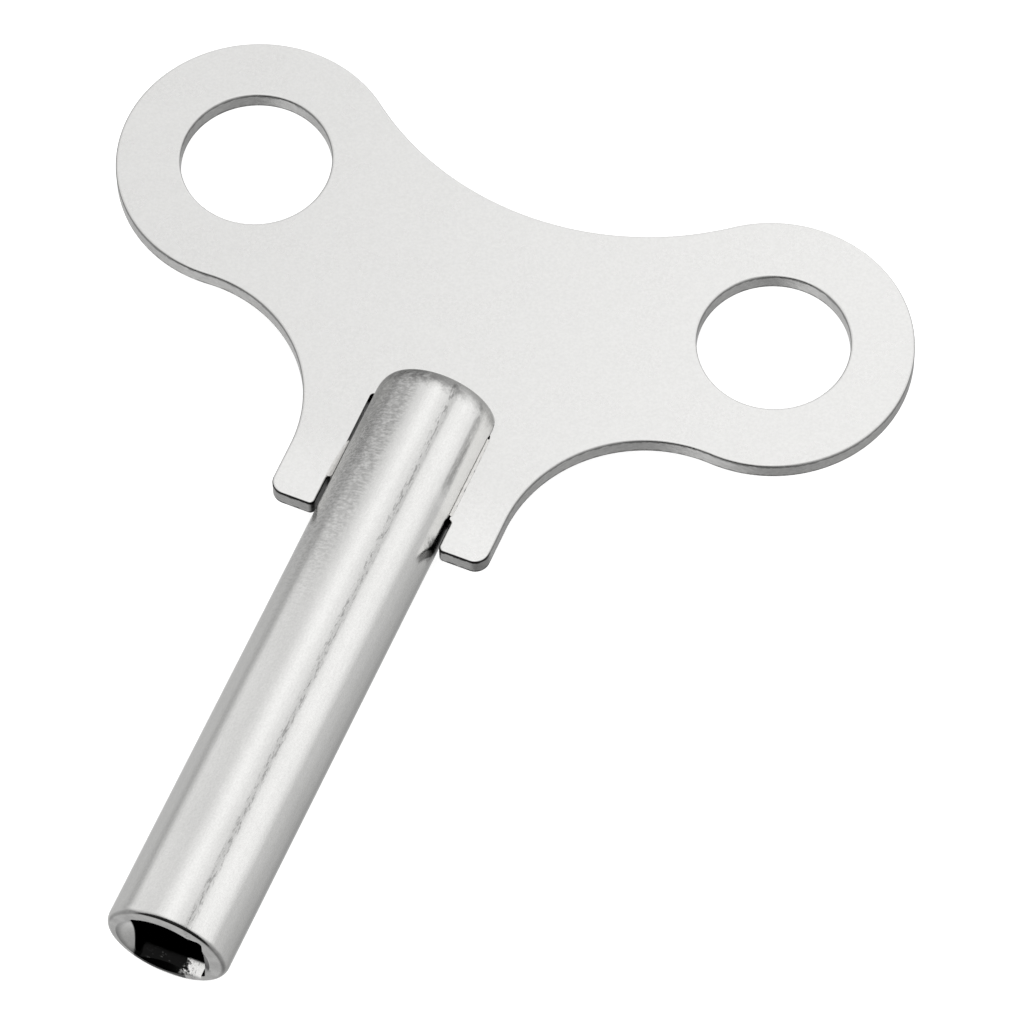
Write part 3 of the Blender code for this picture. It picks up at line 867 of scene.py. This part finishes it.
def painted_top_shade(tree, bar):
    """(mask, shade) of the top end's rounding: an uneven painted shade, heavier on the left."""
    uneven = tree.between(bar.blots, *NOISE, -TOP_UNEVEN, TOP_UNEVEN)
    end = tree.between(tree.math("ADD", bar.along, uneven), *TOP_FADE)
    return end, tree.less(end, tree.between(bar.x, *TOP_LEFT_TO_RIGHT, *TOP_PAINTED_LOSS))


def painted_shade_by_legs(tree, bar):
    """Painted shade on the bar beside the legs, level with the plate, and a painted dark reflection of the
    right leg above it.
    """
    level = tree.math("ADD", tree.math("ABSOLUTE", bar.height), bar.spread)
    beside = tree.product(
        tree.between(bar.along, *BESIDE_LEGS_LOW_Y),
        tree.between(bar.along, *BESIDE_LEGS_HIGH_Y),
        tree.between(level, *BESIDE_LEGS_LEVEL),
    )
    from_leg_reflection = tree.reach(
        tree.math("SUBTRACT", bar.along, LEG_REFLECTION_Y),
        tree.math("SUBTRACT", bar.height, LEG_REFLECTION_Z),
    )
    leg_reflection = tree.product(
        tree.between(bar.x, *LEG_REFLECTION_FADE_X),
        tree.between(tree.math("ADD", from_leg_reflection, bar.spread), *LEG_REFLECTION_FADE, 0.0, LEG_REFLECTION_STRENGTH),
    )
    return tree.masked(tree.math("MAXIMUM", beside, leg_reflection), BESIDE_LEGS_PAINTED_SHADE)


def painted_lip_shade(tree, bar):
    """(mask of the bar left of the lip's right end, painted shade on the mouth's lower lip)."""
    wide_spread = tree.math("MULTIPLY", bar.spread, 2.0)
    left_of = tree.between(tree.math("ADD", bar.x, wide_spread), *LIP_RIGHT_X)
    lip = tree.product(
        tree.between(bar.along, *LIP_FADE_Y),
        tree.between(bar.height, *LIP_FADE_Z),
        left_of,
        tree.between(tree.math("ADD", bar.x, bar.spread), *LIP_LEFT_X),
        tree.between(bar.height, *LIP_LOW_Z),
        tree.between(bar.scuffs, 0.66, 0.58, 0.85, 1.0),
    )
    return left_of, tree.masked(lip, LIP_PAINTED_SHADE)


def painted_socket_shade(tree, bar, left_of):
    """Painted shade inside the socket, and on the countersink above it."""
    in_square = tree.product(
        tree.between(tree.math("ABSOLUTE", bar.height), *SOCKET_FADE_Z),
        tree.between(tree.math("ABSOLUTE", bar.x), *SOCKET_FADE_X),
        tree.between(bar.from_face, *SOCKET_FADE_Y),
    )
    from_sink = tree.reach(
        tree.math("SUBTRACT", bar.x, COUNTERSINK_X),
        tree.math("SUBTRACT", bar.height, COUNTERSINK_Z),
    )
    in_sink = tree.product(
        tree.between(from_sink, *SINK_FADE),
        tree.between(bar.height, *SINK_FADE_Z),
        tree.between(bar.x, *SINK_FADE_X),
        tree.between(bar.from_face, *SINK_FADE_Y),
    )
    dark = tree.product(
        tree.math("MAXIMUM", in_square, in_sink),
        tree.between(bar.along, *HOLE_END_Y),
    )
    left = tree.between(tree.math("MULTIPLY", left_of, bar.scuffs), 0.5, 0.8, *SOCKET_SHADE_LEFT)
    return tree.less(dark, tree.math("SUBTRACT", 1.0, left))


def painted_ring_shade(tree, bar):
    """Painted shade on the mouth's flat ring, darker than the side."""
    on_ring = tree.between(bar.from_face, *RING_FADE)
    return tree.less(on_ring, tree.between(bar.waves, *NOISE, *RING_PAINTED_LOSS))


def plated_bar():
    """Semi-bright nickel plating on drawn bar: marks along its length and a scuffed patch by the plate,
    with painted reflections, painted shade on the top end and beside the joint, and painted shade on the
    ring, the lower lip and in the socket at the mouth."""
    material, tree, shader, where = new_metal("plated_bar")
    bar = Bar(tree, where)
    drawn = tree.noise(where, 0.45 * MM, detail=2.0, stretch=(1.0, 14.0, 1.0))
    grain = tree.noise(where, 0.16 * MM, detail=2.0, rough=0.65)
    cloud = tree.noise(where, 5.0 * MM, detail=3.0)
    patch, patch_shade = scuffed_patch_and_painted_shade(tree, bar)
    end, end_shade = painted_top_shade(tree, bar)
    left_of, lip_shade = painted_lip_shade(tree, bar)
    shade = tree.product(
        patch_shade,
        marks_and_painted_reflections(tree, bar),
        end_shade,
        painted_shade_by_legs(tree, bar),
        lip_shade,
        painted_socket_shade(tree, bar, left_of),
        painted_ring_shade(tree, bar),
        tree.between(grain, *WIDE_NOISE, 0.955, 1.03),
        tree.between(cloud, *NOISE, 0.97, 1.0),
    )
    tree.put(shader.inputs["Base Color"], tree.tint(BAR_COLOUR, shade))
    tree.put(shader.inputs["Roughness"], tree.between(patch, 0.0, 1.0, *BAR_ROUGHNESS))
    normal = tree.bump(drawn, 0.005 * MM)
    normal = tree.bump(bar.waves, 0.008 * MM, normal)
    normal = tree.bump(grain, 0.0018 * MM, normal)
    normal = tree.bump(tree.math("MULTIPLY", bar.scuffs, patch), 0.014 * MM, normal)
    normal = tree.bump(tree.math("MULTIPLY", bar.blots, end), 0.02 * MM, normal)
    tree.put(shader.inputs["Normal"], normal)
    return material


def braze():
    """Plated braze filler: softer and lumpier than the bar."""
    material, tree, shader, where = new_metal("braze")
    lumps = tree.noise(where, 0.3 * MM, detail=2.0)
    shade = tree.between(lumps, *NOISE, 0.9, 1.0)
    tree.put(shader.inputs["Base Color"], tree.tint(BRAZE_COLOUR, shade))
    shader.inputs["Roughness"].default_value = BRAZE_ROUGHNESS
    tree.put(shader.inputs["Normal"], tree.bump(lumps, 0.008 * MM))
    return material


def dress(piece, material, node):
    """Gives a piece its material, rides it on the key and lets it stand for its CAD node."""
    piece.data.materials.clear()
    piece.data.materials.append(material)
    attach(piece, "root")
    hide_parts(node)


# ---------------------------------------------------------------- studio


def make_floor():
    """A pale floor that glows a little, like a light table."""
    mesh = bpy.data.meshes.new("floor")
    sides = ((-1, -1), (1, -1), (1, 1), (-1, 1))
    mesh.from_pydata([(x * FLOOR_HALF, y * FLOOR_HALF, 0.0) for x, y in sides], [], [(0, 1, 2, 3)])
    floor = new_object("floor", mesh)
    material = bpy.data.materials.new("floor")
    tree = Tree(material)
    shader = tree.nodes["Principled BSDF"]
    shader.inputs["Base Color"].default_value = (0.9, 0.9, 0.9, 1.0)
    shader.inputs["Roughness"].default_value = 1.0
    shader.inputs["Specular IOR Level"].default_value = 0.0
    shader.inputs["Emission Color"].default_value = (1.0, 1.0, 1.0, 1.0)
    shader.inputs["Emission Strength"].default_value = FLOOR_GLOW
    mesh.materials.append(material)
    floor.visible_glossy = False


def make_world():
    """The studio around the key: soft panels overhead with a gap between them, a greyer room below,
    a dark wall in front and a pale one behind. Directions are read about the shank's axis."""
    world = bpy.data.worlds.new("studio")
    bpy.context.scene.world = world
    tree = Tree(world)
    tree.nodes.clear()
    direction = tree.add("ShaderNodeTexCoord").outputs["Generated"]
    x, y, z = tree.add("ShaderNodeSeparateXYZ", {0: direction}).outputs
    # The angle about the shank, as a share of a turn: 0 to the right, 0.25 overhead, 0.5 to the left.
    turn = tree.math("ARCTAN2", z, x)
    share = tree.math("FRACT", tree.math("DIVIDE", turn, 2 * math.pi))
    ramp = tree.add("ShaderNodeValToRGB", {"Fac": share})
    ramp.color_ramp.interpolation = "EASE"
    stops = ramp.color_ramp.elements
    while len(stops) > 1:
        stops.remove(stops[-1])
    for i, (degrees, level) in enumerate(STUDIO_LEVELS):
        stop = stops[0] if i == 0 else stops.new(degrees / 360)
        stop.position = degrees / 360
        stop.color = (level, level, level, 1.0)
    around = tree.add("ShaderNodeSeparateColor", {0: ramp.outputs["Color"]}).outputs[0]

    front = tree.between(y, *FRONT_WALL_EDGE)
    past_wall = tree.math("MAXIMUM", tree.between(z, *FRONT_WALL_TOP), tree.between(z, *FRONT_WALL_BOTTOM))
    front_dark = tree.math("MULTIPLY", front, tree.less(past_wall))
    lit = tree.math("MULTIPLY", around, tree.masked(front_dark, FRONT_WALL_LEVEL))
    back = tree.math("MULTIPLY", tree.between(y, *BACK_GLOW_EDGE), tree.between(z, *BACK_GLOW_TOP))
    lit = tree.math("MAXIMUM", lit, tree.math("MULTIPLY", back, BACK_GLOW_LEVEL))

    white = (1.0, 1.0, 1.0)
    studio = tree.add("ShaderNodeBackground", {"Color": tree.tint(white, lit), "Strength": STUDIO_STRENGTH})
    pale = tree.add("ShaderNodeBackground", {"Color": (*white, 1.0), "Strength": 1.0})
    to_camera = tree.add("ShaderNodeLightPath").outputs["Is Camera Ray"]
    mixed = tree.add("ShaderNodeMixShader", {0: to_camera, 1: studio.outputs[0], 2: pale.outputs[0]})
    output = tree.add("ShaderNodeOutputWorld")
    tree.links.new(mixed.outputs[0], output.inputs["Surface"])


def make_camera():
    """A long lens that looks down on the key from its front right."""
    back = Vector(
        (
            math.sin(CAMERA_AZIMUTH) * math.cos(CAMERA_ELEVATION),
            -math.cos(CAMERA_AZIMUTH) * math.cos(CAMERA_ELEVATION),
            math.sin(CAMERA_ELEVATION),
        )
    )
    level = Vector((math.cos(CAMERA_AZIMUTH), math.sin(CAMERA_AZIMUTH), 0.0))
    above = back.cross(level)
    right = math.cos(CAMERA_ROLL) * level + math.sin(CAMERA_ROLL) * above
    up = math.cos(CAMERA_ROLL) * above - math.sin(CAMERA_ROLL) * level
    data = bpy.data.cameras.new("camera")
    data.lens = CAMERA_LENS
    data.sensor_width = CAMERA_SENSOR
    data.clip_start, data.clip_end = CAMERA_CLIP
    camera = new_object("camera", data)
    camera.matrix_world = (
        Matrix.Translation(DESIGN_ORIGIN + CAMERA_AIM + back * CAMERA_DISTANCE)
        @ Matrix((right, up, back)).transposed().to_4x4()
    )
    bpy.context.scene.camera = camera


# ---------------------------------------------------------------- scene

make_camera()
make_world()
make_floor()
dress(make_wing_plate(), plated_plate(), "wing_plate")
dress(make_socket_shank(), plated_bar(), "socket_shank")
filler = braze()
for node in BRAZE_RUNS:
    dress(make_braze(node), filler, node)
bpy.context.scene.view_settings.view_transform = "Standard"
